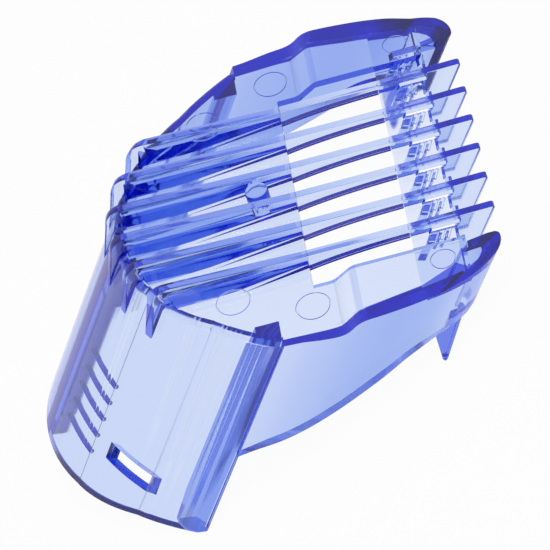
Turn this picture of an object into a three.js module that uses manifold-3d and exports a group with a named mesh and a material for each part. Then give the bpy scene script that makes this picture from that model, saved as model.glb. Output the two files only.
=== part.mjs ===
// Slide-on guide comb of a hair clipper, one clear blue moulding, as a standalone three.js scene.
// The moulding is divided where its forms meet: a deck with a blade opening, a raked sleeve behind it
// that slips over the clipper's nose, two cheeks, a cross bar and six comb teeth.
//
// Everything is drawn in the comb's own frame, in millimetres: X across, Y towards the tooth tips,
// Z up from the rear deck. The whole comb is then tipped forward until it stands by itself on the
// front corners of the sleeve's rim and on its two prongs.

import * as THREE from 'three';
import { ConvexGeometry } from 'three/addons/geometries/ConvexGeometry.js';
import { mergeVertices } from 'three/addons/utils/BufferGeometryUtils.js';
import Module from 'manifold-3d';

const wasm = await Module();
wasm.setup();

// ---------------------------------------------------------------- driving dimensions (mm)

const WALL = 1.4; // wall of the sleeve
const DECK = 1.65; // thickness of the deck
const RAKE = THREE.MathUtils.degToRad(30); // how far the sleeve leans back
const LEAN = Math.tan(RAKE); // its travel towards the back for each millimetre down
const RIM_Z = -30; // level of the sleeve's open rim

// The bow seen from above, right half: the middle of its back, its two creases and its front end.
const BOW = {
  rear: -22.1,
  creaseA: [10.4, -19.2],
  creaseB: [18.1, -12.2],
  corner: [23.4, -5],
  end: [23.6, -3.7],
};

const OPENING = { halfWidth: 16, rear: 0.4, front: 13.1 };
const STEP = { start: 3, end: 5.5, rise: 1.65, relief: 2.2 }; // the deck climbs beside the blade opening
const PLATE = { inner: 15.9, front: 19.8 }; // front corners of the deck
const BAR = { top: 0.75, bottom: -0.5, front: 19.4 };

const TOOTH = {
  count: 6,
  pitch: 5,
  thick: 1.2,
  tipThick: 1,
  top: 2.2,
  mid: 2, // its top face sinks a little between the deck and the bar
  midFrom: 0,
  midTo: 14,
  arch: [6, 0.5], // pull of its curved underside over the opening
  drop: [16, -2], // where its front end drops below the bar
  footY: 18.1,
  noseZ: -5,
  tipY: 23.9,
  tipRound: 0.6,
};
// Each side of a tooth spreads into the deck towards the back.
const GUSSET = { end: -17, half: 2.1, crest: 1.9 };
// The rear end of a tooth, over the sleeve's back.
const SPIKE = { proud: 0.9, round: 2.4, crest: 2.6, bulge: 0.4, foot: -6, footDeep: 0.3, rootDeep: 0.5 };

const SLOT = { wide: 0.7, start: 15.6, end: 18.6, leg: 2.6 }; // core slots through the bar, one in each gap
const RIB = { start: 14.9, thick: 0.7, long: 2, bottom: -3, top: 0.9 };

const CHEEK = { noseX: 17, tipY: 24.1, topFrom: 22, topTo: 19, noseZ: -4.6, heelY: 16.7, heelZ: -6 };
const PRONG = {
  outer: 21.3,
  thick: 1.4,
  root: 15.1,
  rearY: 12.9,
  rearZ: -8.65,
  tipY: 13.2,
  tipZ: -13.15,
  blunt: 0.35,
};

const SIDE_RAIL = { inner: 19.7, rear: -6.8, front: -3.85 };
const BACK_RAIL = {
  halfWidth: 2.25,
  deep: 1.8,
  headDeep: 2.6,
  top: -4.4,
  headEnd: -9.5,
  tail: -26.5,
  tailHalf: 1.7,
};
const RIDGES = { count: 5, first: 26.65, step: 2.97, high: 0.8, deep: 0.8, from: 3.4, to: 10.2 };
const WINDOW = { from: 13, to: 18.05, start: 33.3, high: 2.9 };
const BOSS = { y: -4, radius: 1.5, high: 2 };

const FAR = 40; // past the comb in every direction
const SEAM = 0.02; // kept between two faces that would lie exactly on each other

// ---------------------------------------------------------------- outlines

const v2 = (x, y) => new THREE.Vector2(x, y);
const rectangle = (x0, y0, x1, y1) => [v2(x0, y0), v2(x1, y0), v2(x1, y1), v2(x0, y1)];

// Both halves of an outline whose right half runs from the middle of the back to the middle of the front.
const bothSides = (half) => [...half, ...half.filter((p) => p.x > 0).map((p) => v2(-p.x, p.y)).reverse()];

// The bow's line moved inwards, each point along the line's own normal there. Its first point stays on
// the middle of the comb and its last one level with the wall's front edge.
function insetBow(distance) {
  const last = BOW_LINE.length - 1;
  return BOW_LINE.map((point, i) => {
    const along = BOW_LINE[Math.min(i + 1, last)].clone().sub(BOW_LINE[Math.max(i - 1, 0)]).normalize();
    const moved = point.clone().add(v2(-along.y, along.x).multiplyScalar(distance));
    return v2(i === 0 ? 0 : moved.x, i === last ? point.y : moved.y);
  });
}

const curve = (from, pull, to, steps) => new THREE.QuadraticBezierCurve(v2(...from), v2(...pull), v2(...to))
  .getPoints(steps);

const BACK_LINE = curve([0, BOW.rear], [5.4, BOW.rear], BOW.creaseA, 6);
const FLANK_LINE = curve(BOW.creaseA, [14.6, -17.2], BOW.creaseB, 6);
const SIDE_LINE = [...curve(BOW.creaseB, [20.9, -9.2], BOW.corner, 5), v2(...BOW.end)];
const BOW_LINE = [...BACK_LINE, ...FLANK_LINE.slice(1), ...SIDE_LINE.slice(1)];
const CREASE_A = BACK_LINE.length - 1;
const CREASE_B = CREASE_A + FLANK_LINE.length - 1;
const BOW_END = BOW_LINE.length - 1;

// A closed strip of the bow between two of its points and two depths inside its outer line.
function strip(from, to, outer, inner) {
  const outside = insetBow(outer).slice(from, to + 1);
  const inside = insetBow(inner).slice(from, to + 1);
  return [...outside, ...inside.reverse()];
}

// The cheek's wall is drawn at the level of the teeth's tops, and leans with the sleeve below that.
const CHEEK_OUTSIDE = new THREE.SplineCurve([
  v2(23.7, -12.7), v2(24.3, -2.7), v2(25.05, 2.2), v2(25.2, 6.5), v2(24.7, 11.8), v2(23.9, 15.8),
  v2(22.9, 18.5), v2(21.9, 20.4), v2(20.4, 22.2), v2(18.8, 23.4), v2(CHEEK.noseX, CHEEK.tipY),
]).getPoints(26);
const CHEEK_INSIDE = new THREE.SplineCurve([
  v2(22.3, -12.7), v2(22.9, -0.8), v2(23.05, 4.1), v2(22.6, 7.9), v2(22.1, 10.8), v2(21.5, 14.8),
  v2(20.9, 17.9), v2(20.5, PLATE.front),
]).getPoints(14);

// ---------------------------------------------------------------- solids

function solidOf(geometry) {
  const bare = geometry.clone();
  bare.deleteAttribute('normal');
  bare.deleteAttribute('uv');
  const merged = mergeVertices(bare, 1e-4);
  return new wasm.Manifold(
    new wasm.Mesh({
      numProp: 3,
      vertProperties: merged.attributes.position.array,
      triVerts: new Uint32Array(merged.index.array),
    }),
  );
}

function extruded(points, depth, matrix) {
  const geometry = new THREE.ExtrudeGeometry(new THREE.Shape(points), { depth, bevelEnabled: false });
  return solidOf(geometry.applyMatrix4(matrix));
}

const raise = (z) => new THREE.Matrix4().makeTranslation(0, 0, z);

// A plan outline (X, Y) carried straight up from one level to another.
const upright = (points, low, high) => extruded(points, high - low, raise(low));

// A plan outline carried down the sleeve's rake, drawn where it would meet the level of the rear deck.
const raked = (points, low, high) =>
  extruded(points, high - low, new THREE.Matrix4().makeShear(0, 0, 0, 0, 0, LEAN).multiply(raise(low)));

// The same for an outline drawn at the level of the teeth's tops.
const fromTop = (points) => points.map((p) => v2(p.x, p.y - TOOTH.top * LEAN));
const rakedFromTop = (points, low, high) => raked(fromTop(points), low, high);

// A side outline (Y, Z) carried across from one X to another.
function across(points, left, right) {
  const [x, y, z] = [new THREE.Vector3(1, 0, 0), new THREE.Vector3(0, 1, 0), new THREE.Vector3(0, 0, 1)];
  return extruded(points, right - left, new THREE.Matrix4().makeBasis(y, z, x).setPosition(left, 0, 0));
}

// A block square to the sleeve's axis, between two distances down that axis.
function sleeveSlice(x0, x1, start, end) {
  const box = new THREE.BoxGeometry(x1 - x0, 2 * FAR, end - start)
    .translate((x0 + x1) / 2, 0, -(start + end) / 2)
    .rotateX(-RAKE);
  return solidOf(box);
}

const joined = (...solids) => solids.reduce((whole, next) => whole.add(next));

// ---------------------------------------------------------------- the sleeve

const UNDER_DECK = -DECK - SEAM;
const INNER_LINE = insetBow(WALL);

const insideSleeve = raked(bothSides(INNER_LINE), RIM_Z, UNDER_DECK);

// The right half of the back, closed down the middle, and its mirror image as one outline.
function sleeveBack() {
  const outside = BACK_LINE;
  const inside = INNER_LINE.slice(0, CREASE_A + 1);
  const left = (points) => points.slice(1).map((p) => v2(-p.x, p.y));
  const outline = [...left(outside).reverse(), ...outside, ...[...inside].reverse(), ...left(inside)];
  return raked(outline, RIM_Z, UNDER_DECK);
}

function sleeveFlank(hasWindow) {
  const wall = raked(strip(CREASE_A, CREASE_B, 0, WALL), RIM_Z, UNDER_DECK);
  if (!hasWindow) return wall;
  return wall.subtract(sleeveSlice(WINDOW.from, WINDOW.to, WINDOW.start, WINDOW.start + WINDOW.high));
}

const sleeveSide = () => raked(strip(CREASE_B, BOW_END, 0, WALL), RIM_Z, UNDER_DECK);

function sideRail() {
  const { inner, rear, front } = SIDE_RAIL;
  return raked(rectangle(inner, rear, FAR, front), RIM_Z, UNDER_DECK).intersect(insideSleeve);
}

function backRail() {
  const { halfWidth, deep, headDeep, top, headEnd, tail, tailHalf } = BACK_RAIL;
  const face = BOW.rear + WALL;
  const bar = (half, depth, low, high) => raked(rectangle(-half, BOW.rear, half, face + depth), low, high);
  const rail = joined(bar(halfWidth, headDeep, headEnd, top), bar(halfWidth, deep, tail, headEnd),
    bar(tailHalf, deep, RIM_Z, tail));
  return rail.intersect(insideSleeve);
}

function ridge(index) {
  const start = RIDGES.first + index * RIDGES.step - RIDGES.high / 2;
  const slice = sleeveSlice(RIDGES.from, RIDGES.to, start, start + RIDGES.high);
  return raked(strip(0, CREASE_A, WALL, WALL + RIDGES.deep), RIM_Z, UNDER_DECK).intersect(slice);
}

// ---------------------------------------------------------------- the deck and the bar

const CHEEK_GAP = rakedFromTop(
  bothSides([v2(0, CHEEK_INSIDE[0].y), ...CHEEK_INSIDE, v2(CHEEK.noseX - SEAM, PLATE.front),
    v2(CHEEK.noseX - SEAM, FAR), v2(0, FAR)]),
  -FAR / 2, FAR / 2,
);

// Its rear edge leans with the sleeve's wall below it.
function deckRear() {
  const bow = raked(bothSides([...BOW_LINE, v2(0, BOW.end[1])]), -DECK, 0);
  const shelf = upright(rectangle(-FAR, 2 * BOW.end[1], FAR, OPENING.rear), -DECK, 0).intersect(CHEEK_GAP);
  return bow.add(shelf);
}

function deckSide() {
  const { start, end, rise } = STEP;
  const profile = [
    v2(OPENING.rear + SEAM, -DECK), v2(start, -DECK), v2(end, rise - DECK), v2(OPENING.front, rise - DECK),
    v2(OPENING.front, rise), v2(end, rise), v2(start, 0), v2(OPENING.rear + SEAM, 0),
  ];
  return across(profile, OPENING.halfWidth, FAR).intersect(CHEEK_GAP);
}

const toothX = (index) => (index - (TOOTH.count - 1) / 2) * TOOTH.pitch;

// Every gap between two teeth is formed by a raked core: it leaves a slot through the bar along the tooth
// on the left, with a leg across the gap, and a rib that hangs below the bar behind the slot.
function gapSlot(left) {
  const { wide, start, end, leg } = SLOT;
  const along = raked(rectangle(left, start, left + wide, end), -FAR, FAR);
  const cross = raked(rectangle(left, end - wide, left + leg, end), -FAR, FAR);
  return along.add(cross);
}

const gapRib = (left) =>
  raked(rectangle(left, RIB.start, left + RIB.long, RIB.start + RIB.thick), RIB.bottom, RIB.top);

function bladeBar() {
  const { top, bottom, front } = BAR;
  const { rise } = STEP;
  const rear = OPENING.front + SEAM;
  const frontAt = (z) => front + (z - top) * LEAN;
  const cornerAt = (z) => PLATE.front + (z - TOOTH.top) * LEAN - SEAM;
  const body = across([
    v2(rear, top), v2(rear, bottom), v2(frontAt(bottom), bottom), v2(frontAt(top), top),
  ], -CHEEK.noseX + SEAM, CHEEK.noseX - SEAM);
  const corner = across([
    v2(rear, rise - DECK), v2(cornerAt(rise - DECK), rise - DECK), v2(cornerAt(rise), rise), v2(rear, rise),
  ], PLATE.inner, FAR).intersect(CHEEK_GAP);
  let shaped = joined(body, corner, corner.scale([-1, 1, 1]));
  for (let gap = 0; gap <= TOOTH.count; gap++) {
    const left = toothX(gap - 1) + TOOTH.thick / 2;
    shaped = shaped.add(gapRib(left)).subtract(gapSlot(left));
  }
  return shaped;
}

// ---------------------------------------------------------------- cheeks, prongs and teeth

const CHEEK_WALL = rakedFromTop(
  [...CHEEK_OUTSIDE, v2(CHEEK.noseX, PLATE.front + SEAM), ...[...CHEEK_INSIDE].reverse()],
  -FAR / 2, FAR / 2,
);

function cheekSide() {
  const { tipY, topFrom, topTo, noseZ, heelY, heelZ } = CHEEK;
  const rearAt = (z) => BOW.end[1] + SEAM + z * LEAN;
  const lower = new THREE.SplineCurve([
    v2(rearAt(-17.1), -17.1), v2(-7.2, -15.1), v2(-0.9, -12.6), v2(5.4, -9.6), v2(9.5, -7.45),
    v2(13, -6.4), v2(heelY, heelZ),
  ]).getPoints(14);
  return [
    v2(rearAt(0), 0), ...lower, v2(tipY, noseZ), v2(tipY, TOOTH.top), v2(topFrom, TOOTH.top),
    v2(topTo, STEP.rise), v2(STEP.end, STEP.rise), v2(STEP.start, 0),
  ];
}

// Just under the raised deck the cheek's inner face stands upright, so the blade block lies flat against it.
function seatRelief() {
  const inside = fromTop(CHEEK_INSIDE).map((p) => v2(p.x + SEAM, p.y));
  const { halfWidth } = OPENING;
  return upright([v2(halfWidth, inside[0].y), ...inside, v2(halfWidth, inside.at(-1).y)], -STEP.relief, 0);
}

const cheek = (beside) =>
  CHEEK_WALL.intersect(across(cheekSide(), 0, FAR)).subtract(beside).subtract(seatRelief());

// A flat hook that hangs from the heel of the nose.
function prong(nose) {
  const { outer, thick, root, rearY, rearZ, tipY, tipZ, blunt } = PRONG;
  const hook = [
    v2(root, CHEEK.heelZ), v2(rearY, rearZ), v2(rearY, tipZ + blunt), v2(tipY, tipZ),
    v2(tipY + blunt, tipZ + blunt), v2(CHEEK.heelY, CHEEK.heelZ),
  ];
  return across(hook, outer - thick, outer).subtract(nose);
}

// A tooth's side outline: a long flat top, a raked tip, an underside that clears the blade, and at the
// back a rounded crest that runs down the sleeve as a spike.
function toothSide(backAt) {
  const { top, mid, midFrom, midTo, arch, drop, footY, noseZ, tipY, tipRound } = TOOTH;
  const { proud, round, crest, bulge, foot, footDeep, rootDeep } = SPIKE;
  const rear = backAt - proud;
  const tipAt = (z) => tipY + (z - top) * LEAN;
  const shape = new THREE.Shape();
  shape.moveTo(rear + round, crest);
  shape.quadraticCurveTo(rear, crest, rear - bulge, crest - round);
  shape.lineTo(backAt + foot * LEAN + footDeep, foot);
  shape.lineTo(backAt + rootDeep, -DECK / 2);
  shape.lineTo(OPENING.rear, -DECK / 2);
  shape.quadraticCurveTo(...arch, OPENING.front, BAR.top);
  shape.lineTo(drop[0], BAR.top);
  shape.lineTo(...drop);
  shape.lineTo(footY, noseZ);
  shape.lineTo(tipAt(noseZ), noseZ);
  shape.lineTo(tipAt(top - tipRound), top - tipRound);
  shape.quadraticCurveTo(tipY, top, tipY - tipRound, top);
  shape.lineTo(midTo, mid);
  shape.lineTo(midFrom, mid);
  return shape.getPoints(4);
}

// A block round a tooth whose two sides spread apart towards the back, so the tooth stands on the deck
// as on a long gusset.
function gusset(x) {
  const { end, half, crest } = GUSSET;
  const thin = TOOTH.thick / 2;
  const root = -DECK / 2;
  const section = (y, wide) => [[wide, root], [wide, 0], [thin, crest]]
    .flatMap(([out, z]) => [-out, out].map((dx) => new THREE.Vector3(x + dx, y, z)));
  const corners = [...section(OPENING.rear, thin), ...section(end, half), ...section(-FAR, half)];
  const onDeck = raked(bothSides([...BOW_LINE, v2(0, FAR)]), -DECK, TOOTH.top);
  return solidOf(new ConvexGeometry(corners)).intersect(onDeck);
}

// Seen from above a tooth narrows from the opening to its tip.
function toothPlan(x) {
  const { thick, tipThick, tipY } = TOOTH;
  const right = [v2(x + thick / 2, -FAR), v2(x + thick / 2, 0), v2(x + tipThick / 2, tipY)];
  const left = [v2(x - tipThick / 2, tipY), v2(x - thick / 2, 0), v2(x - thick / 2, -FAR)];
  return upright([...right, ...left], -FAR, FAR);
}

function tooth(index, neighbours) {
  const x = toothX(index);
  const at = Math.abs(x);
  const next = BOW_LINE.findIndex((p) => p.x > at);
  const [a, b] = [BOW_LINE[next - 1], BOW_LINE[next]];
  const backAt = THREE.MathUtils.mapLinear(at, a.x, b.x, a.y, b.y);
  const blade = across(toothSide(backAt), x - TOOTH.thick, x + TOOTH.thick).intersect(toothPlan(x));
  return neighbours.reduce((whole, other) => whole.subtract(other), blade.add(gusset(x)));
}

function boss() {
  const { y, radius, high } = BOSS;
  return solidOf(new THREE.CylinderGeometry(radius, radius, high, 24).rotateX(Math.PI / 2)
    .translate(0, y, SEAM + high / 2));
}

// ---------------------------------------------------------------- the scene

const PLASTIC = { color: 0x4a68e8, roughness: 0.12, metalness: 0, transparent: true, opacity: 0.55 };

const comb = new THREE.Group();

function piece(name, solid, mirror = false) {
  const { numProp, vertProperties, triVerts } = solid.getMesh();
  const geometry = new THREE.BufferGeometry();
  geometry.setAttribute('position', new THREE.BufferAttribute(vertProperties, numProp));
  geometry.setIndex(new THREE.BufferAttribute(triVerts, 1));
  const mesh = new THREE.Mesh(geometry.toNonIndexed(), new THREE.MeshStandardMaterial(PLASTIC));
  mesh.geometry.computeVertexNormals();
  mesh.name = name;
  if (mirror) mesh.scale.x = -1;
  comb.add(mesh);
}

function pair(name, solid) {
  piece(name + '_right', solid);
  piece(name + '_left', solid, true);
}

const back = sleeveBack();
const flank = sleeveFlank(false);
const deck = deckRear();
const bar = bladeBar();
const cheekRight = cheek(deck);

piece('sleeve_back', back);
piece('sleeve_flank_right', sleeveFlank(true));
piece('sleeve_flank_left', flank, true);
pair('sleeve_side', sleeveSide());
pair('side_rail', sideRail());
piece('back_rail', backRail());
for (let i = 0; i < RIDGES.count; i++) piece('grip_ridge_' + (i + 1), ridge(i));

piece('deck_rear', deck);
pair('deck_side', deckSide());
piece('blade_bar', bar);
piece('gate_boss', boss());

pair('cheek', cheekRight);
pair('prong', prong(cheekRight));

const leftFlank = flank.scale([-1, 1, 1]);
for (let i = 0; i < TOOTH.count; i++) piece('tooth_' + (i + 1), tooth(i, [deck, back, flank, leftFlank, bar]));

// The comb tips forward until the rim's front corners and the prongs' tips stand on one level.
const rimFront = v2(BOW.end[1] + RIM_Z * LEAN, RIM_Z);
comb.rotation.x = -Math.atan2(PRONG.tipZ - rimFront.y, PRONG.tipY - rimFront.x);
const box = new THREE.Box3().setFromObject(comb, true);
comb.position.set(0, -(box.min.y + box.max.y) / 2, -box.min.z);

export default comb;
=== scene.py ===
# %% [markdown]
# # A clear blue guide comb for a hair clipper
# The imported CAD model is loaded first. It is the fixed frame: where the comb stands, how it leans and
# how large it is all come from it, and nothing in this lesson moves or changes it.

from math import atan2, cos, pi, radians, sin, tan

import bmesh
import bpy
from mathutils import Matrix, Quaternion, Vector
from mathutils.bvhtree import BVHTree


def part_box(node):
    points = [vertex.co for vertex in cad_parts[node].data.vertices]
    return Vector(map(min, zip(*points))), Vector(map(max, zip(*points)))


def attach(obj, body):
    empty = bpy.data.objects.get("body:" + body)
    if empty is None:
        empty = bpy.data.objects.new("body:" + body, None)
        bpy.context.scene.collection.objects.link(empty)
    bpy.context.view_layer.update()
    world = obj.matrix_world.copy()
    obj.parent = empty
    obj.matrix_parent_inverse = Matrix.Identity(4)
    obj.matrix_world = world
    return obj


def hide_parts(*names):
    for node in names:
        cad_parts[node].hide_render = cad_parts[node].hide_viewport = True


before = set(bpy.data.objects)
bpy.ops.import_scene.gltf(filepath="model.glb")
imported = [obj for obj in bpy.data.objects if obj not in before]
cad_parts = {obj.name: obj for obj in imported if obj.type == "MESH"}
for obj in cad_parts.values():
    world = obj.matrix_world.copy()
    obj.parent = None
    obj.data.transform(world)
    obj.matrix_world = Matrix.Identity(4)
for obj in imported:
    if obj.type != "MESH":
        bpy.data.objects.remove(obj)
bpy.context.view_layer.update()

# %% [markdown]
# ## The comb's own frame
# A moulded part is easiest to draw as its mould is drawn: X runs across the comb, Y towards the tooth
# tips and Z up from the rear deck, in millimetres. The sleeve behind the deck leans back by 30 degrees.
# The finished comb is then tipped forward until it stands on the sleeve's rim and on its two prongs, and
# the middle of the small boss on the deck, read from the frame, says where that puts it.

# %% Measures and the two frames
WALL, DECK, RIM = 1.4, 1.0, -30.0
LEAN = tan(radians(30))
STEP_START, STEP_END, RISE = 3.0, 5.5, 1.65
OPEN_HALF, OPEN_REAR, OPEN_FRONT = 16.0, 0.4, 13.1
PLATE_FRONT, NOSE_X, TIP_Y = 19.8, 17.0, 24.1
TOOTH_TOP, TEETH, PITCH, TOOTH_THICK = 2.2, 6, 5.0, 1.1
PRONG_TIP, RIM_FRONT = (13.2, -13.15), (-3.7 + RIM * LEAN, RIM)
BOSS = Vector((0, -4, 1.02))
FAR = 40.0

tip = -atan2(PRONG_TIP[1] - RIM_FRONT[1], PRONG_TIP[0] - RIM_FRONT[0])
turn = Matrix.Rotation(tip, 4, "X")
boss_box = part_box("gate_boss")
seat = (boss_box[0] + boss_box[1]) / 2 - turn @ (BOSS * 0.001)
TO_ROW = Matrix.Translation(seat) @ turn @ Matrix.Scale(0.001, 4)
print("tipped by", round(tip * 180 / pi, 2), "degrees, seated at", [round(v * 1000, 2) for v in seat])

# %% [markdown]
# ## Outlines and solids
# Nearly every form of a moulding is a flat outline carried along a straight line, because the mould's
# halves slide apart along that line. So one helper extrudes an outline and takes its sharp edges off,
# and a matrix says where the outline lies and which way it is carried: straight up, across the comb, or
# down the raked sleeve. The small radius on the edges is what catches the light on real plastic.

# %% Curves and the solid maker
def bezier(a, pull, b, steps):
    """Points of a quadratic curve from a to b."""
    points = []
    for i in range(steps + 1):
        t = i / steps
        points.append(tuple((1 - t) ** 2 * p + 2 * t * (1 - t) * q + t * t * r for p, q, r in zip(a, pull, b)))
    return points


def spline(points, steps):
    """A smooth line through points, with steps segments between each two."""
    ends = [tuple(2 * p - q for p, q in zip(points[0], points[1])), *points,
            tuple(2 * p - q for p, q in zip(points[-1], points[-2]))]
    line = []
    for a, b, c, d in zip(ends, ends[1:], ends[2:], ends[3:]):
        for i in range(steps):
            t = i / steps
            line.append(tuple(0.5 * (2 * q + (r - p) * t + (2 * p - 5 * q + 4 * r - s) * t * t
                                     + (3 * q - p - 3 * r + s) * t ** 3) for p, q, r, s in zip(a, b, c, d)))
    return [*line, points[-1]]


def mirrored(half):
    """Both sides of an outline whose right half is given, from the middle round to the middle."""
    return [*half, *[(-x, y) for x, y in reversed(half) if x > 0]]


def rectangle(x0, y0, x1, y1):
    return [(x0, y0), (x1, y0), (x1, y1), (x0, y1)]


def object_of(name, bm):
    bmesh.ops.recalc_face_normals(bm, faces=bm.faces)
    mesh = bpy.data.meshes.new(name)
    bm.to_mesh(mesh)
    bm.free()
    made = bpy.data.objects.new(name, mesh)
    bpy.context.scene.collection.objects.link(made)
    return made


def soften(bm, radius, chosen=lambda middle: True, sharp=35):
    """Rounds the sharp edges whose middle point is chosen."""
    bm.normal_update()
    edges = [e for e in bm.edges if e.calc_face_angle(0) > radians(sharp)
             and chosen((e.verts[0].co + e.verts[1].co) / 2)]
    bmesh.ops.bevel(bm, geom=edges, offset=radius, segments=2, profile=0.5, affect="EDGES", clamp_overlap=True)
    bmesh.ops.remove_doubles(bm, verts=bm.verts, dist=1e-4)


def solid(name, outline, matrix, depth, radius=0.0, chosen=lambda middle: True):
    """An outline carried along its own Z by depth, placed by matrix, with softened edges."""
    bm = bmesh.new()
    low = [bm.verts.new((x, y, 0)) for x, y in outline]
    high = [bm.verts.new((x, y, depth)) for x, y in outline]
    bm.faces.new(low[::-1])
    bm.faces.new(high)
    for i in range(len(outline)):
        j = (i + 1) % len(outline)
        bm.faces.new((low[i], low[j], high[j], high[i]))
    bm.transform(matrix)
    bmesh.ops.recalc_face_normals(bm, faces=bm.faces)
    if radius:
        soften(bm, radius, chosen)
    return object_of(name, bm)


def upright(name, outline, low, high, **rounding):
    return solid(name, outline, Matrix.Translation((0, 0, low)), high - low, **rounding)


def raked(name, outline, low, high, **rounding):
    lean = Matrix(((1, 0, 0, 0), (0, 1, LEAN, LEAN * low), (0, 0, 1, low), (0, 0, 0, 1)))
    return solid(name, outline, lean, high - low, **rounding)


def across(name, outline, left, right, **rounding):
    side = Matrix(((0, 0, 1, left), (1, 0, 0, 0), (0, 1, 0, 0), (0, 0, 0, 1)))
    return solid(name, outline, side, right - left, **rounding)


def combine(target, others, operation="UNION"):
    """Joins, cuts or crosses target with each of the others, which are used up."""
    for other in others:
        boolean = target.modifiers.new("join", "BOOLEAN")
        boolean.solver = "MANIFOLD"
        boolean.operation = operation
        boolean.object = other
        made = bpy.data.meshes.new_from_object(target.evaluated_get(bpy.context.evaluated_depsgraph_get()))
        target.modifiers.clear()
        target.data = made
        bpy.data.objects.remove(other)
    return target


# %% [markdown]
# ## The bow
# Seen from above, the back of the comb is a bow with two soft creases on each side. The same line is the
# edge of the deck and, carried down the rake, the sleeve's wall, so it is drawn once and moved inwards
# for the inner face.

# %% The bow line
BACK = bezier((0, -22.1), (5.4, -22.1), (10.4, -19.2), 16)
FLANK = bezier(BACK[-1], (14.6, -17.2), (18.1, -12.2), 14)
SIDE = [*bezier(FLANK[-1], (20.9, -9.2), (23.4, -5), 12), (23.6, -3.7)]
BOW = [*BACK, *FLANK[1:], *SIDE[1:]]


def inset(line, distance):
    """The line moved to its left by a distance; it starts on the middle and ends level with the first."""
    moved = []
    for i, (x, y) in enumerate(line):
        (x0, y0), (x1, y1) = line[max(i - 1, 0)], line[min(i + 1, len(line) - 1)]
        length = ((x1 - x0) ** 2 + (y1 - y0) ** 2) ** 0.5
        moved.append((x - (y1 - y0) / length * distance, y + (x1 - x0) / length * distance))
    moved[0] = (0, moved[0][1])
    moved[-1] = (moved[-1][0], line[-1][1])
    return moved


INNER_BOW = inset(BOW, WALL)
print("bow:", len(BOW), "points, half width", BOW[-1][0], "mm")

# %% [markdown]
# ## The sleeve
# The wall is one closed strip between the two lines. It is carried down the rake and its rim is
# rounded, because a mould never leaves a knife edge there. Two fine grooves run down the inner face, one
# at each crease of the bow.

# %% The sleeve's wall
SLEEVE_TOP, GROOVE_TOP, GROOVE = -0.95, -1.6, 0.11
left_out, left_in = [(-x, y) for x, y in BOW[1:]], [(-x, y) for x, y in INNER_BOW[1:]]
strip = [*reversed(left_out), *BOW, *reversed(INNER_BOW), *left_in]
sleeve = raked("sleeve", strip, RIM, SLEEVE_TOP, radius=0.22, chosen=lambda m: m.z < -DECK - 0.3)
creases = []
for bend in (len(BACK) - 1, len(BACK) + len(FLANK) - 2):
    for x, y in (INNER_BOW[bend], (-INNER_BOW[bend][0], INNER_BOW[bend][1])):
        groove = [(x + GROOVE * cos(i * pi / 3), y + GROOVE * sin(i * pi / 3)) for i in range(6)]
        creases.append(raked("crease", groove, RIM - 1, GROOVE_TOP))
combine(sleeve, creases, "DIFFERENCE")
print("sleeve wall:", len(sleeve.data.polygons), "faces")

# %% [markdown]
# Rails inside the sleeve guide the comb on the clipper's nose: one in each front corner and a deeper one
# down the middle of the back, which starts as a block.

# %% The rails
RAIL_FACE, RAIL_REAR, RAIL_FRONT = 19.7, -6.8, -3.85
HEAD_TOP, HEAD_FOOT, STEM_FOOT = -4.4, -9.4, -26.4


def inside_only(blank):
    """Keeps what lies inside the sleeve, a little into its wall so that the two become one."""
    keep = raked("keep", mirrored(inset(BOW, WALL - 0.2)), RIM, -DECK / 2)
    return combine(blank, [keep], "INTERSECT")


right = rectangle(RAIL_FACE, RAIL_REAR, FAR, RAIL_FRONT)
left = rectangle(-FAR, RAIL_REAR, -RAIL_FACE, RAIL_FRONT)
rails = [inside_only(raked("side_rail", plan, RIM, -DECK / 2)) for plan in (right, left)]


def bar(half, deep, low, high):
    """A stretch of the back rail, which starts in the middle of the wall."""
    plan = rectangle(-half, BOW[0][1] + WALL / 2, half, INNER_BOW[0][1] + deep)
    return raked("bar", plan, low, high, radius=0.12)


back_rail = combine(bar(2.25, 2.6, HEAD_FOOT - 0.1, HEAD_TOP),
                    [bar(2.25, 1.8, STEM_FOOT - 0.1, HEAD_FOOT), bar(1.7, 1.8, RIM, STEM_FOOT)])
rails.append(back_rail)
print("rails:", len(rails))

# %% [markdown]
# ## What repeats: Geometry Nodes
# Grip ridges, teeth, the slots, ribs and channels of the bar, and the round ejector marks each repeat one
# form, so each set is one tree: it reads a single form and a row's count and step, puts a copy on every
# point, makes the copies real and gives them the material. The helper below builds trees with named
# inputs.

# %% A small builder for node trees
def socket_of(made, key):
    """A node's input by number, as in i0, or by its name, with _ for a space."""
    numbered = key[0] == "i" and key[1:].isdigit()
    return made.inputs[int(key[1:]) if numbered else key.replace("_", " ")]


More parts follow.
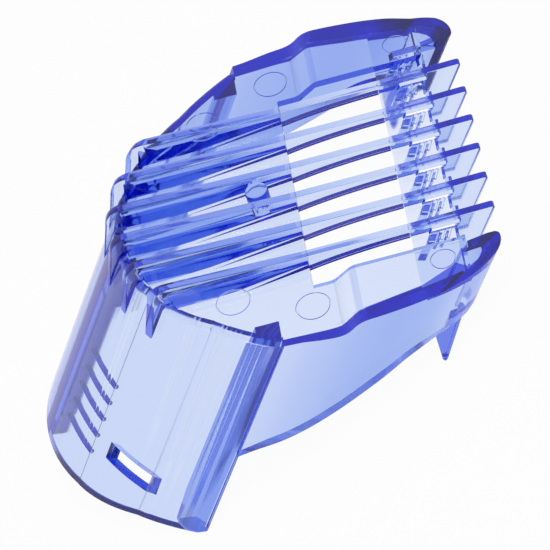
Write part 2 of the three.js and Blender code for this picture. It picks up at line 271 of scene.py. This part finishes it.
class Tree:
    """A Geometry Nodes tree with named inputs and one geometry output."""

    def __init__(self, name, inputs):
        self.tree = bpy.data.node_groups.new(name, "GeometryNodeTree")
        face = self.tree.interface
        self.names = {}
        for label, kind in inputs.items():
            self.names[label] = face.new_socket(label, in_out="INPUT", socket_type=kind).identifier
        face.new_socket("Geometry", in_out="OUTPUT", socket_type="NodeSocketGeometry")
        self.given = self.tree.nodes.new("NodeGroupInput")
        self.out = self.tree.nodes.new("NodeGroupOutput")

    def __getitem__(self, label):
        return self.given.outputs[label]

    def node(self, kind, settings=None, **values):
        """Adds a node; a value is a constant or another node's socket."""
        made = self.tree.nodes.new(kind if kind.startswith("Shader") else "GeometryNode" + kind)
        for key, value in (settings or {}).items():
            setattr(made, key, value)
        for key, value in values.items():
            socket = socket_of(made, key)
            if isinstance(value, bpy.types.NodeSocket):
                self.tree.links.new(value, socket)
            else:
                socket.default_value = value
        return made.outputs

    def finish(self, geometry, material):
        """Ends the tree in Realize Instances and Set Material."""
        real = self.node("RealizeInstances", Geometry=geometry)
        painted = self.node("SetMaterial", Geometry=real["Geometry"], Material=material)
        self.tree.links.new(painted["Geometry"], self.out.inputs["Geometry"])


def grown(name, tree, values):
    """Runs a tree on an empty mesh with these inputs, and keeps the result as a plain mesh."""
    made = bpy.data.objects.new(name, bpy.data.meshes.new(name))
    bpy.context.scene.collection.objects.link(made)
    modifier = made.modifiers.new("grow", "NODES")
    modifier.node_group = tree.tree
    for label, value in values.items():
        modifier[tree.names[label]] = value
    result = bpy.data.meshes.new_from_object(made.evaluated_get(bpy.context.evaluated_depsgraph_get()))
    made.modifiers.clear()
    made.data = result
    return made


PLASTIC = bpy.data.materials.new("clear_blue_plastic")
ROW_INPUTS = {"Form": "NodeSocketObject", "Count": "NodeSocketInt", "First": "NodeSocketVector",
              "Step": "NodeSocketVector", "Material": "NodeSocketMaterial"}


def row_tree(name):
    """The tree that sets copies of a form in a straight row."""
    tree = Tree(name, ROW_INPUTS)
    line = tree.node("MeshLine", {"mode": "OFFSET"}, Count=tree["Count"], Start_Location=tree["First"],
                     Offset=tree["Step"])
    form = tree.node("ObjectInfo", {"transform_space": "RELATIVE"}, Object=tree["Form"])
    copies = tree.node("InstanceOnPoints", Points=line["Mesh"], Instance=form["Geometry"])
    tree.finish(copies["Instances"], tree["Material"])
    return tree


STRAIGHT_ROW = row_tree("straight_row")


def in_row(form, count, first, step):
    made = grown(form.name + "_row", STRAIGHT_ROW, {"Form": form, "Count": count, "First": first, "Step": step,
                                                   "Material": PLASTIC})
    bpy.data.objects.remove(form)
    print(made.name, "has", count, "copies,", len(made.data.polygons), "faces")
    return made


# %% [markdown]
# ## Grip ridges and the window
# The ridges stand inside the back wall, beside the middle rail and square to the sleeve's axis. One ridge
# is a slice of a thin strip that follows the bow; because the sleeve is straight along its rake, the same
# ridge moved down that line fits everywhere. A rectangular window is cut through the right flank below
# them.

# %% Ridges and window
def sleeve_slice(name, x0, x1, start, high):
    """A block square to the sleeve's axis, from a distance down that axis."""
    square = Matrix.Rotation(-radians(30), 4, "X") @ Matrix.Translation((0, 0, -start - high))
    return solid(name, rectangle(x0, -FAR, x1, FAR), square, high)


AXIS_DOWN = Vector((0, -sin(radians(30)), -cos(radians(30))))
RIDGES, RIDGE_START, RIDGE_STEP, RIDGE_HIGH = 5, 26.9, 2.97, 0.4
ROOT, CREST = WALL - 0.2, WALL + 0.6
outer_side, inner_side = inset(BOW, ROOT)[:len(BACK)], inset(BOW, CREST)[:len(BACK)]
ridge = raked("grip_ridge", [*outer_side, *reversed(inner_side)], RIM, -DECK)
combine(ridge, [sleeve_slice("slice", 3.4, 10.4, RIDGE_START - RIDGE_HIGH / 2, RIDGE_HIGH)], "INTERSECT")
ridges = in_row(ridge, RIDGES, (0, 0, 0), AXIS_DOWN * RIDGE_STEP)
window = sleeve_slice("window", 13, 18.05, 33.3, 2.9)
combine(window, [upright("front_half", rectangle(0, -FAR, FAR, -20), -FAR, 0)], "INTERSECT")

# %% [markdown]
# ## The deck
# The deck is the plate on which the blade rests. Behind the blade opening it is flat, and beside the
# opening it climbs a short ramp, rounded at both ends, to a higher shelf.

# %% The deck
def from_top(points):
    """Moves an outline drawn at the level of the teeth's tops to where the rake brings it at the deck."""
    return [(x, y - TOOTH_TOP * LEAN) for x, y in points]


CHEEK_OUT = spline([(23.7, -12.7), (24.3, -2.7), (25.05, 2.2), (25.2, 6.5), (24.7, 11.8), (23.9, 15.8),
                    (22.9, 18.5), (22.1, 20.3), (21.2, 21.7), (20.26, 22.7), (19.4, 23.22), (18.6, 23.48),
                    (17.85, 23.54), (17.3, 23.4), (NOSE_X, 23.0)], 5)
CHEEK_IN = spline([(22.3, -12.7), (22.9, -0.8), (23.05, 4.1), (22.6, 7.9), (22.1, 10.8), (21.5, 14.8),
                   (20.9, 17.9), (20.5, PLATE_FRONT)], 6)
INTO = 0.3  # how far one form reaches into its neighbour, so that they melt together


def between_cheeks(blank):
    """Keeps what lies between the two cheeks."""
    room = [(0, -12.7), *[(x + INTO, y) for x, y in CHEEK_IN], (NOSE_X + INTO, PLATE_FRONT),
            (NOSE_X + INTO, FAR), (0, FAR)]
    return combine(blank, [raked("room", mirrored(from_top(room)), -FAR / 2, FAR / 2)], "INTERSECT")


bow_plate = raked("bow_plate", mirrored([*BOW, (0, BOW[-1][1])]), -DECK, 0, radius=0.8,
                  chosen=lambda m: m.z > -0.1 and m.y < -4.2)
shelf = between_cheeks(upright("shelf", rectangle(-FAR, -4.3, FAR, OPEN_REAR), -DECK, 0))
ramp = [(0, -DECK), (STEP_START, -DECK), (STEP_END, RISE - DECK), (OPEN_FRONT + 0.2, RISE - DECK),
        (OPEN_FRONT + 0.2, RISE), *bezier((6.2, RISE), (STEP_END, RISE), (5.0, 1.32), 5),
        *bezier((3.5, 0.33), (STEP_START, 0), (2.3, 0), 5), (0, 0)]
ramps = [between_cheeks(across("ramp", ramp, *ends)) for ends in ((OPEN_HALF, FAR), (-FAR, -OPEN_HALF))]
deck = combine(bow_plate, [shelf, *ramps])
print("deck:", len(deck.data.polygons), "faces")

# %% [markdown]
# ## The blade bar
# In front of the opening a bar ties the teeth together under the blade's edge. Cores of the mould leave a
# slot and three slanted ribs in each gap between two teeth: one slot and three ribs, each set in a row.

# %% The bar, its slots and ribs
BAR_FRONT, BAR_TOP, BAR_FOOT = 19.4, 0.75, 0.1


def front_at(z):
    """The bar's front face leans as the sleeve does."""
    return BAR_FRONT + (z - BAR_TOP) * LEAN


profile = [(OPEN_FRONT, BAR_TOP), (OPEN_FRONT, BAR_FOOT), (front_at(BAR_FOOT), BAR_FOOT),
           (front_at(BAR_TOP), BAR_TOP)]
blade_bar = across("blade_bar", profile, -NOSE_X - INTO, NOSE_X + INTO)
corner = rectangle(OPEN_FRONT, 0, BAR_FRONT, RISE)
corner_ends = ((OPEN_HALF - 0.1, FAR), (-FAR, -OPEN_HALF + 0.1))
corners = [between_cheeks(across("corner", corner, *ends)) for ends in corner_ends]
first_gap = -((TEETH - 1) / 2 + 1) * PITCH + TOOTH_THICK / 2
slot = raked("core_slot", rectangle(-0.05, 18.35, 1.9, 19.05), -20, 20)
slots = in_row(slot, TEETH + 1, (first_gap, 0, 0), (PITCH, 0, 0))


def slanted(name, y, long, low):
    """A rib across the gap that leans back towards its right end."""
    outline = [(0.15, y), (0.4, y + long), (1.95, y + long - 0.6), (1.6, y - 0.6)]
    return raked(name, outline, low, 0.9)


thin_ribs = [slanted("thin", 16.5, 0.3, -1.2), slanted("thin", 17.35, 0.3, -1.2)]
rib = combine(slanted("gap_rib", 15.2, 0.95, -2.6), thin_ribs)
ribs = in_row(rib, TEETH + 1, (first_gap, 0, 0), (PITCH, 0, 0))
combine(blade_bar, [*corners, ribs])
combine(blade_bar, [slots], "DIFFERENCE")
print("bar:", len(blade_bar.data.polygons), "faces")

# %% [markdown]
# ## Cheeks and prongs
# A cheek is a curved wall seen from above and a long fin seen from the side, so it is the common part of
# two extrusions: its plan carried up, and its side outline carried across. Its nose is hollow, with a
# thin skin, because a thick lump of plastic would sink as it cools.

# %% The cheeks
def rear_at(z):
    """The cheek's rear end leans as the sleeve does."""
    return BOW[-1][1] - 0.6 + z * LEAN


cheek_plan = [*CHEEK_OUT, (NOSE_X, PLATE_FRONT), *reversed(CHEEK_IN)]
lower = spline([(rear_at(-17.1), -17.1), (-7.2, -15.1), (-0.9, -12.6), (5.4, -9.6), (9.5, -7.45), (13, -6.4),
                (16.7, -6)], 8)
swell = [*bezier((6.6, RISE), (5.2, RISE), (4.25, RISE / 2), 6),
         *bezier((4.25, RISE / 2), (3.3, 0), (1.9, 0), 6)[1:]]
cheek_side = [(rear_at(0), 0), *lower, (TIP_Y, -4.6), (TIP_Y, TOOTH_TOP), (22, TOOTH_TOP), (19, RISE), *swell]
prong_side = [(14.6, -5.4), (12.9, -8.65), (12.9, -12.8), (13.2, -13.15), (13.55, -12.8), (17, -5.4)]


def cheek_wall(sign):
    """The cheek of one side: sign is 1 for the right and -1 for the left."""
    plan = [(sign * x, y) for x, y in from_top(cheek_plan)]
    low, high = sorted((0, sign * FAR))
    cheek = raked("cheek", plan, -FAR / 2, FAR / 2)
    return combine(cheek, [across("side", cheek_side, low, high)], "INTERSECT")


def prong(sign):
    low, high = sorted((sign * 18.9, sign * 21.3))
    return across("prong", prong_side, low, high, radius=0.15)


POCKET = [(17.95, 19.55), (17.95, 22.1), (18.6, 22.1), (19.5, 21.6), (20.3, 20.7), (20.9, 19.55)]
SKIN = [(18.6, 0.4), (TIP_Y, 0.4), (TIP_Y, TOOTH_TOP), (22, TOOTH_TOP), (19, RISE), (18.6, RISE)]


def hollow_nose(sign, cheek):
    """Cores the nose from below, and closes the hole again with a thin skin on top."""
    plan = [(sign * x, y) for x, y in from_top(POCKET)]
    middle_x, middle_y, wider = 19.1, 20.8, 1.01
    wide = [(sign * (middle_x + (x - middle_x) * wider), middle_y + (y - middle_y) * wider) for x, y in POCKET]
    low, high = sorted((0, sign * FAR))
    skin = raked("skin", from_top(wide), -FAR / 2, FAR / 2)
    combine(skin, [across("side", SKIN, low, high)], "INTERSECT")
    combine(cheek, [raked("pocket", plan, -FAR / 2, FAR / 2)], "DIFFERENCE")
    return combine(cheek, [skin])


cheeks = [hollow_nose(sign, cheek_wall(sign)) for sign in (1, -1)] + [prong(sign) for sign in (1, -1)]
print("cheeks and prongs:", [len(c.data.polygons) for c in cheeks], "faces")

# %% [markdown]
# ## The teeth
# All six teeth share one side outline, but their rear ends follow the bow of the deck. So one tooth is
# made with rounded edges, the tree sets six of them in a row, and then it slides every point behind the
# opening along Y by the bow's own rule, which is very nearly a parabola across the comb. A gusset and a
# foot widen the tooth's root on the deck, and a keel, hardly wider than the tooth, follows its underside.

# %% One tooth
BACK_Y, BEND = BOW[0][1], 0.0262
TOOTH_TIP = 23.9


def tip_at(z):
    return TOOTH_TIP + (z - TOOTH_TOP) * LEAN


rear = BACK_Y - 0.9
tooth_side = [*bezier((rear + 2.4, 2.6), (rear, 2.6), (rear - 0.4, 0.2), 8),
              (BACK_Y - 6 * LEAN + 0.3, -6), (BACK_Y + 0.5, -DECK / 2),
              *bezier((OPEN_REAR - 0.2, -DECK / 2), (6, 0.5), (OPEN_FRONT, 0.6), 10), (18.7, 0.6), (18.3, -5),
              (tip_at(-5), -5), *bezier((tip_at(1.6), 1.6), (tip_at(2.2), 2.2), (TOOTH_TIP - 0.8, 2.2), 5),
              (18.9, 2.12), (16, 2.05), (13.5, 2), (0, 2)]
tooth = across("tooth", tooth_side, -TOOTH_THICK / 2, TOOTH_THICK / 2, radius=0.14)


def wrapped(name, corners):
    """The smallest convex solid round points that are given for the right side only."""
    bm = bmesh.new()
    for x, y, z in corners:
        for sign in (-1, 1):
            bm.verts.new((sign * x, y, z))
    bmesh.ops.convex_hull(bm, input=bm.verts)
    bmesh.ops.delete(bm, geom=[v for v in bm.verts if not v.link_faces], context="VERTS")
    return object_of(name, bm)


HALF_TOOTH = TOOTH_THICK / 2
gusset = wrapped("gusset", [(out, y, z) for y, wide in ((OPEN_REAR + 0.1, HALF_TOOTH - 0.05), (-17, 1.5),
                                                        (BACK_Y + 0.8, 1.5))
                            for out, z in ((wide, -DECK / 2), (wide, 0), (HALF_TOOTH - 0.05, 1.9))])
foot = wrapped("foot", [(wide, y, z) for y, wide, high in ((OPEN_REAR + 0.02, HALF_TOOTH + 0.06, 0.6),
                                                           (-13, 1.8, 0.02))
                        for z in (-DECK / 2, high)])
under = bezier((OPEN_REAR + 0.05, -DECK / 2), (6, 0.5), (OPEN_FRONT - 0.1, 0.6), 10)
keel_side = [*[(y, z - 0.01) for y, z in under], *[(y, z + 0.28) for y, z in reversed(under)]]
keel = across("keel", keel_side, -HALF_TOOTH - 0.015, HALF_TOOTH + 0.015)
combine(tooth, [gusset, foot, keel])
print("one tooth:", len(tooth.data.polygons), "faces")

# %% The row of teeth
bend_inputs = {name: "NodeSocketFloat" for name in ("Bend", "Straight from", "Bent from")}
teeth_tree = Tree("teeth_on_the_bow", {**ROW_INPUTS, **bend_inputs})
line = teeth_tree.node("MeshLine", {"mode": "OFFSET"}, Count=teeth_tree["Count"],
                       Start_Location=teeth_tree["First"], Offset=teeth_tree["Step"])
form = teeth_tree.node("ObjectInfo", {"transform_space": "RELATIVE"}, Object=teeth_tree["Form"])
copies = teeth_tree.node("InstanceOnPoints", Points=line["Mesh"], Instance=form["Geometry"])
real = teeth_tree.node("RealizeInstances", Geometry=copies["Instances"])
place = teeth_tree.node("ShaderNodeSeparateXYZ", Vector=teeth_tree.node("InputPosition")["Position"])
square = teeth_tree.node("ShaderNodeMath", {"operation": "MULTIPLY"}, i0=place["X"], i1=place["X"])
shift = teeth_tree.node("ShaderNodeMath", {"operation": "MULTIPLY"}, i0=square["Value"], i1=teeth_tree["Bend"])
share = teeth_tree.node("ShaderNodeMapRange", Value=place["Y"], From_Min=teeth_tree["Straight from"],
                        From_Max=teeth_tree["Bent from"])
amount = teeth_tree.node("ShaderNodeMath", {"operation": "MULTIPLY"}, i0=shift["Value"], i1=share["Result"])
offset = teeth_tree.node("ShaderNodeCombineXYZ", Y=amount["Value"])
bent = teeth_tree.node("SetPosition", Geometry=real["Geometry"], Offset=offset["Vector"])
teeth_tree.finish(bent["Geometry"], teeth_tree["Material"])
teeth = grown("teeth", teeth_tree, {"Form": tooth, "Count": TEETH, "First": (-(TEETH - 1) / 2 * PITCH, 0, 0),
                                    "Step": (PITCH, 0, 0), "Material": PLASTIC, "Bend": BEND,
                                    "Straight from": 0.0, "Bent from": -14.0})
bpy.data.objects.remove(tooth)
print("teeth:", len(teeth.data.polygons), "faces")

# %% [markdown]
# ## Boss and ejector marks
# A small boss stands behind the opening. The pins that push the moulding out of its mould leave round
# marks: a shallow ring round each pin's end, cut by a torus that lies half in the surface. The teeth are
# cut clear of the boss, and a channel is made ready for the bar under each tooth.

# %% Boss and marks
BOSS_RADIUS, BOSS_TOP, CLEAR = 1.45, 2.02, 1.36
circle = [(BOSS_RADIUS * cos(i * pi / 24), BOSS.y + BOSS_RADIUS * sin(i * pi / 24)) for i in range(48)]
boss = upright("boss", circle, -0.3, BOSS_TOP, radius=0.4)
room = upright("boss_room", [(x * CLEAR, BOSS.y + (y - BOSS.y) * CLEAR) for x, y in circle], 0.0, FAR)
channel = raked("bar_channel", rectangle(-TOOTH_THICK - 0.02, 15.2, 0.06, 18.6), -0.1, 1.0)
channels = in_row(channel, TEETH + 1, (first_gap, 0, 0), (PITCH, 0, 0))
combine(teeth, [room], "DIFFERENCE")


def mark(name, radius):
    """A thin ring, half sunk, as a closed torus."""
    bm = bmesh.new()
    around, thick = 48, 0.09
    rings = [[bm.verts.new(((radius + thick * cos(b * pi / 3)) * cos(a * 2 * pi / around),
                            (radius + thick * cos(b * pi / 3)) * sin(a * 2 * pi / around),
                            thick * sin(b * pi / 3))) for b in range(6)] for a in range(around)]
    for a in range(around):
        for b in range(6):
            near, far = rings[a], rings[(a + 1) % around]
            bm.faces.new((near[b], far[b], far[(b + 1) % 6], near[(b + 1) % 6]))
    return object_of(name, bm)


marks = [in_row(mark("side_mark", 2.08), 2, (-19.3, 0, 0), (38.6, 0, 0)),
         in_row(mark("rear_mark", 2.08), 2, (-15.35, -9.3, 0), (30.7, 0, 0)),
         in_row(mark("front_mark", 1.5), 2, (-18.8, 16.3, RISE), (37.6, 0, 0))]

# %% [markdown]
# ## One moulding
# The real comb is a single piece of plastic, so all forms are joined into one closed body: inside clear
# plastic every hidden wall would show. The body is placed in the frame, slivers of no width are
# dissolved, and the edges that don't join two faces are counted, because glass needs a closed body. A few
# are left: stray edges without faces under the deck's rim, and one pinhole beside the left cheek.

# %% Join and place the body
combine(blade_bar, [teeth])
combine(blade_bar, [channels], "DIFFERENCE")
comb = combine(sleeve, [*rails, ridges, deck, blade_bar, *cheeks, boss])
combine(comb, [window, *marks], "DIFFERENCE")
comb.name = "comb_moulding"
comb.data.transform(TO_ROW)
comb.data.materials.clear()
comb.data.materials.append(PLASTIC)

bm = bmesh.new()
bm.from_mesh(comb.data)
bmesh.ops.dissolve_degenerate(bm, edges=bm.edges, dist=1e-7)
bmesh.ops.recalc_face_normals(bm, faces=bm.faces)
open_edges = sum(not e.is_manifold for e in bm.edges)
volume = bm.calc_volume() * 1e9
bm.to_mesh(comb.data)
bm.free()
print("moulding:", len(comb.data.polygons), "faces, open edges", open_edges, ", volume", round(volume), "mm3")

# %% [markdown]
# ## Painted shade on each face
# Clear plastic is darkest where light has come a long way along a wall, such as at the ends of rails and
# along rolled edges. A renderer follows that light only so far, so each face stores a painted shade that
# darkens its colour in place of that light. For rolled edges it is measured, by a ray through the closed
# body. For small features the light comes round corners, and one ray says little, so their painted shade is
# an artist's choice: a list of rules by place, with values chosen one by one. Such a painted shade belongs
# to this shape, and a new shape would need new values.

# %% Measure the way through the plastic
TO_COMB = TO_ROW.inverted()
places = [TO_COMB @ v.co for v in comb.data.vertices]
tree = BVHTree.FromPolygons(places, [p.vertices[:] for p in comb.data.polygons])
DOWN_RAKE = -Vector((0, LEAN, 1)).normalized()


def depth_behind(point, inward):
    """The longest straight way through the plastic that light entering a face can take, in mm."""
    longest, bent_at_most = 0.0, cos(radians(50))
    for way in (inward, DOWN_RAKE, -DOWN_RAKE, Vector((0, 0, -1)), Vector((0, 0, 1))):
        if way.dot(inward) > bent_at_most:
            hit = tree.ray_cast(point + way * 0.01, way)
            longest = max(longest, hit[3] or 0.0)
    return longest


def in_front_of(line, point):
    """How far a point stands in front of a raked wall that is drawn as a line, in mm; 0 beside it."""
    x, y = abs(point.x), point.y - point.z * LEAN
    for (x0, y0), (x1, y1) in zip(line, line[1:]):
        if x0 <= x < x1:
            return y - y0 - (y1 - y0) * (x - x0) / (x1 - x0)
    return 0.0


# %% Rules for each face's depth
# Painted shade for each region, standing in for light that travels a long way through the plastic
FOOT_SHADE, UNDERSIDE_SHADE, KEEL_SHADE, TOP_SHADE, TAIL_SHADE = 1.2, 2.0, 3.0, 0.2, 0.4
RAMP_SHADE, BACK_SHADE, RAIL_SHADE, PRONG_SHADE, NOSE_SHADE = 0.06, 1.0, 1.2, 0.15, 0.3
EDGE_SHADE, SHORT_WAY, MORE_WAY = 0.55, 3.2, 3.0
RIDGE_END = 10.6


def painted_shade(point, normal):
    """How much painted shade a face gets: 0 is none, 1 darkens it to navy, and more to nearly black."""
    x, y, z = abs(point.x), point.y, point.z
    over_opening = OPEN_REAR < y < OPEN_FRONT
    # the rolled rear edge of the deck stays clear
    if -1.3 < z < 0.1 and y < -4.2 and normal.z > -0.5:
        return 0.0
    # the feet of the teeth on the deck, then their undersides and keels over the opening
    if -13 < y < 0.45 and 0.03 < z < 2.1 and x < 15:
        return FOOT_SHADE if z < 0.5 and abs(normal.z) < 0.6 else 0.0
    if over_opening and -1 < z < 0.9 and x < 14 and normal.z < -0.1:
        return UNDERSIDE_SHADE if abs(normal.x) > 0.3 else 0.0
    if over_opening and -1 < z < 1.1 and abs(x % PITCH - PITCH / 2) > HALF_TOOTH:
        return KEEL_SHADE if x < 14 and abs(normal.x) > 0.9 else 0.0
    # the teeth's tops above the bar, and the ramps
    if 13 < y < 18.9 and z > 1.9 and x < 14:
        return TOP_SHADE
    if 1.5 < y < 6.5 and x > 14.5 and 0.02 < z < RISE - 0.02 and normal.z > 0.5:
        return RAMP_SHADE
    # the teeth's tails outside the wall, the wall behind the back rail, then the rail and the ridges
    if -7 < z < -1 and in_front_of(BOW, point) < -0.05:
        return TAIL_SHADE
    if z < -4.4 and x < 2.3 and normal.y < -0.5:
        return BACK_SHADE
    if z < -3 and x < RIDGE_END and 0.05 < in_front_of(INNER_BOW, point) < 2.9:
        return RAIL_SHADE
    # the prongs and the hollow noses
    if z < -6.3 and y > 12:
        return PRONG_SHADE
    way = depth_behind(point, -normal)
    if z > 1.5 and y > 18.3 and x > 16.9 and way < 3:
        return NOSE_SHADE
    return EDGE_SHADE * min(max((way - SHORT_WAY) / MORE_WAY, 0.0), 1.0)


# %% [markdown]
# A face made of several large triangles takes the least value among them, so that one corner behind a
# rail does not darken a whole wall. Then normals are kept flat on flat faces and smooth on curved ones,
# and the one body stands for all the CAD nodes.

# %% Store the painted shade and finish the body
comb.data.calc_loop_triangles()
triangles = {}
for t in comb.data.loop_triangles:
    centre = sum((TO_COMB @ comb.data.vertices[v].co for v in t.vertices), Vector()) / 3
    triangles.setdefault(t.polygon_index, []).append((t.area, centre))
values = []
for polygon in comb.data.polygons:
    normal = (TO_COMB.to_3x3() @ polygon.normal).normalized()
    parts = triangles[polygon.index]
    largest = max(area for area, point in parts)
    values.append(min(painted_shade(point, normal) for area, point in parts if area > 0.1 * largest))
# each face's painted shade is stored as its "depth"
comb.data.attributes.new("depth", "FLOAT", "FACE").data.foreach_set("value", values)
print("deep blue faces:", sum(v > 0.5 for v in values), "of", len(values))
comb.data.polygons.foreach_set("use_smooth", [True] * len(comb.data.polygons))
comb.data.polygons.foreach_set("material_index", [0] * len(comb.data.polygons))
comb.data.set_sharp_from_angle(angle=radians(32))
weighted = comb.modifiers.new("weighted", "WEIGHTED_NORMAL")
weighted.keep_sharp = True
finished = bpy.data.meshes.new_from_object(comb.evaluated_get(bpy.context.evaluated_depsgraph_get()))
comb.modifiers.clear()
comb.data = finished
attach(comb, "root")
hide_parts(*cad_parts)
print("finished faces:", len(comb.data.polygons))

# %% [markdown]
# ## The plastic
# Clear blue plastic is glass-like: light bends at the surface and loses red and green on its way through
# the body. Thin walls look pale and long ways through look deep blue, so the colour belongs to the
# volume. The faces' stored painted shade darkens the surface colour by a power law, as absorption does,
# one power for each of red, green and blue. The surface adds a soft unevenness of gloss and a faint ripple.

# %% The shader helper
class Wire:
    """A node socket that can be used in sums and products."""

    tree = None

    def __init__(self, socket):
        self.socket = socket

    @classmethod
    def node(cls, kind, settings=None, **values):
        made = cls.tree.nodes.new("ShaderNode" + kind)
        for key, value in (settings or {}).items():
            setattr(made, key, value)
        for key, value in values.items():
            socket = socket_of(made, key)
            if isinstance(value, Wire):
                cls.tree.links.new(value.socket, socket)
            else:
                socket.default_value = value
        return made

    def _math(self, operation, a, b):
        return Wire(Wire.node("Math", {"operation": operation}, i0=a, i1=b).outputs[0])

    def __add__(self, other):
        return self._math("ADD", self, other)

    def __mul__(self, other):
        return self._math("MULTIPLY", self, other)

    def larger(self, other):
        return self._math("MAXIMUM", self, other)

    @classmethod
    def power(cls, base, exponent):
        """A number raised to a socket's value."""
        return Wire(cls.node("Math", {"operation": "POWER"}, i0=base, i1=exponent).outputs[0])

    __radd__, __rmul__ = __add__, __mul__


def start(material):
    """Empties a material's nodes and gives its output."""
    material.use_nodes = True
    Wire.tree = material.node_tree
    Wire.tree.nodes.clear()
    return Wire.node("OutputMaterial")


# %% The plastic
# the colour that painted shade of 1 gives a face, for each of red, green and blue
SHADE_RED, SHADE_GREEN, SHADE_BLUE = 0.0008, 0.0022, 0.5  # what passes a face whose depth is 1
output = start(PLASTIC)
spot = Wire(Wire.node("TexCoord").outputs["Object"])
cloud = Wire(Wire.node("TexNoise", Vector=spot, Scale=90.0, Detail=3.0).outputs["Fac"])
grain = Wire(Wire.node("TexNoise", Vector=spot, Scale=900.0, Detail=2.0).outputs["Fac"])
ripple = Wire.node("Bump", Strength=0.02, Distance=0.0001, Height=cloud * 0.8 + grain * 0.2)
# the painted shade stored on each face as "depth", which darkens the base colour
deep = Wire(Wire.node("Attribute", {"attribute_name": "depth"}).outputs["Fac"])
painted_shade_colour = Wire.node("CombineColor", Red=Wire.power(SHADE_RED, deep), Green=Wire.power(SHADE_GREEN, deep),
                  Blue=Wire.power(SHADE_BLUE, deep))
body = Wire.node("BsdfPrincipled", Base_Color=Wire(painted_shade_colour.outputs[0]), Metallic=0.0, IOR=1.5,
                 Transmission_Weight=1.0, Roughness=0.05 + cloud * 0.06, Normal=Wire(ripple.outputs["Normal"]))
dye = Wire.node("VolumeAbsorption", Color=(0.175, 0.41, 0.92, 1.0), Density=400.0)
Wire.tree.links.new(body.outputs["BSDF"], output.inputs["Surface"])
Wire.tree.links.new(dye.outputs["Volume"], output.inputs["Volume"])
print("plastic:", len(PLASTIC.node_tree.nodes), "nodes")

# %% [markdown]
# ## The stage
# A clear object takes most of its look from what stands behind it. The floor is nearly white: to the
# camera, and to light seen in or through the plastic, most of it glows at exactly white, and the rest is
# a plain matt surface that keeps the soft shadow. The world is white to the same light and dimmer to the
# rest. The lamps are not seen through the plastic, where their edges would draw hard bright lines.

# %% Floor and world
def seen_light():
    """1 for light that the camera sees, straight or in or through the plastic, and 0 for the rest."""
    rays = Wire.node("LightPath")
    straight = Wire(rays.outputs["Is Camera Ray"]).larger(Wire(rays.outputs["Is Glossy Ray"]))
    return straight.larger(Wire(rays.outputs["Is Transmission Ray"]))


FLOOR_GLOW, WORLD_LIGHT = 0.95, 0.4
floor_mesh = bmesh.new()
bmesh.ops.create_grid(floor_mesh, x_segments=2, y_segments=2, size=3.0)
floor = object_of("floor", floor_mesh)
floor.location.z = -0.00002
paper = bpy.data.materials.new("paper")
output = start(paper)
seen = seen_light()
matt = Wire.node("BsdfDiffuse", Color=(0.9, 0.9, 0.9, 1.0))
glow = Wire.node("Emission", Color=(1, 1, 1, 1.0), Strength=1.0)
mix = Wire.node("MixShader", i0=seen * FLOOR_GLOW)
Wire.tree.links.new(matt.outputs[0], mix.inputs[1])
Wire.tree.links.new(glow.outputs[0], mix.inputs[2])
Wire.tree.links.new(mix.outputs[0], output.inputs["Surface"])
floor.data.materials.append(paper)

scene = bpy.context.scene
scene.world = bpy.data.worlds.new("studio")
scene.world.use_nodes = True
Wire.tree = scene.world.node_tree
Wire.tree.nodes.clear()
sky = Wire.node("Background", Color=(1, 1, 1, 1), Strength=seen_light() * (1 - WORLD_LIGHT) + WORLD_LIGHT)
Wire.tree.links.new(sky.outputs[0], Wire.node("OutputWorld").inputs["Surface"])
print("world light:", WORLD_LIGHT)

# %% Lamps
BOUNCES = 48

def lamp(name, place, size, power):
    """A square lamp that faces the comb."""
    light = bpy.data.lights.new(name, "AREA")
    light.size, light.energy = size, power
    made = bpy.data.objects.new(name, light)
    scene.collection.objects.link(made)
    made.location = place
    made.visible_transmission = False
    made.rotation_euler = (-Vector(place)).to_track_quat("-Z", "Y").to_euler()


lamp("window_light", (0.5, 0.6, 0.9), 0.5, 7)
lamp("side_light", (0.6, -0.75, 0.28), 0.4, 2)
scene.view_settings.view_transform = "Standard"
scene.cycles.max_bounces = scene.cycles.transmission_bounces = scene.cycles.glossy_bounces = BOUNCES
print("lamps:", [light.name for light in bpy.data.lights])

# %% [markdown]
# ## The camera
# A long lens from the front right and well above, rolled so that the comb lies diagonally.

# %% The camera
lens = bpy.data.cameras.new("camera")
lens.lens, lens.sensor_width = 261.8, 36
camera = bpy.data.objects.new("camera", lens)
scene.collection.objects.link(camera)
camera.location = (0.342333, 0.194778, 0.312079)
camera.rotation_mode = "QUATERNION"
camera.rotation_quaternion = Quaternion((0.751783, 0.029271, 0.439309, 0.490890))
scene.camera = camera
print("lens:", round(lens.lens, 1), "mm")
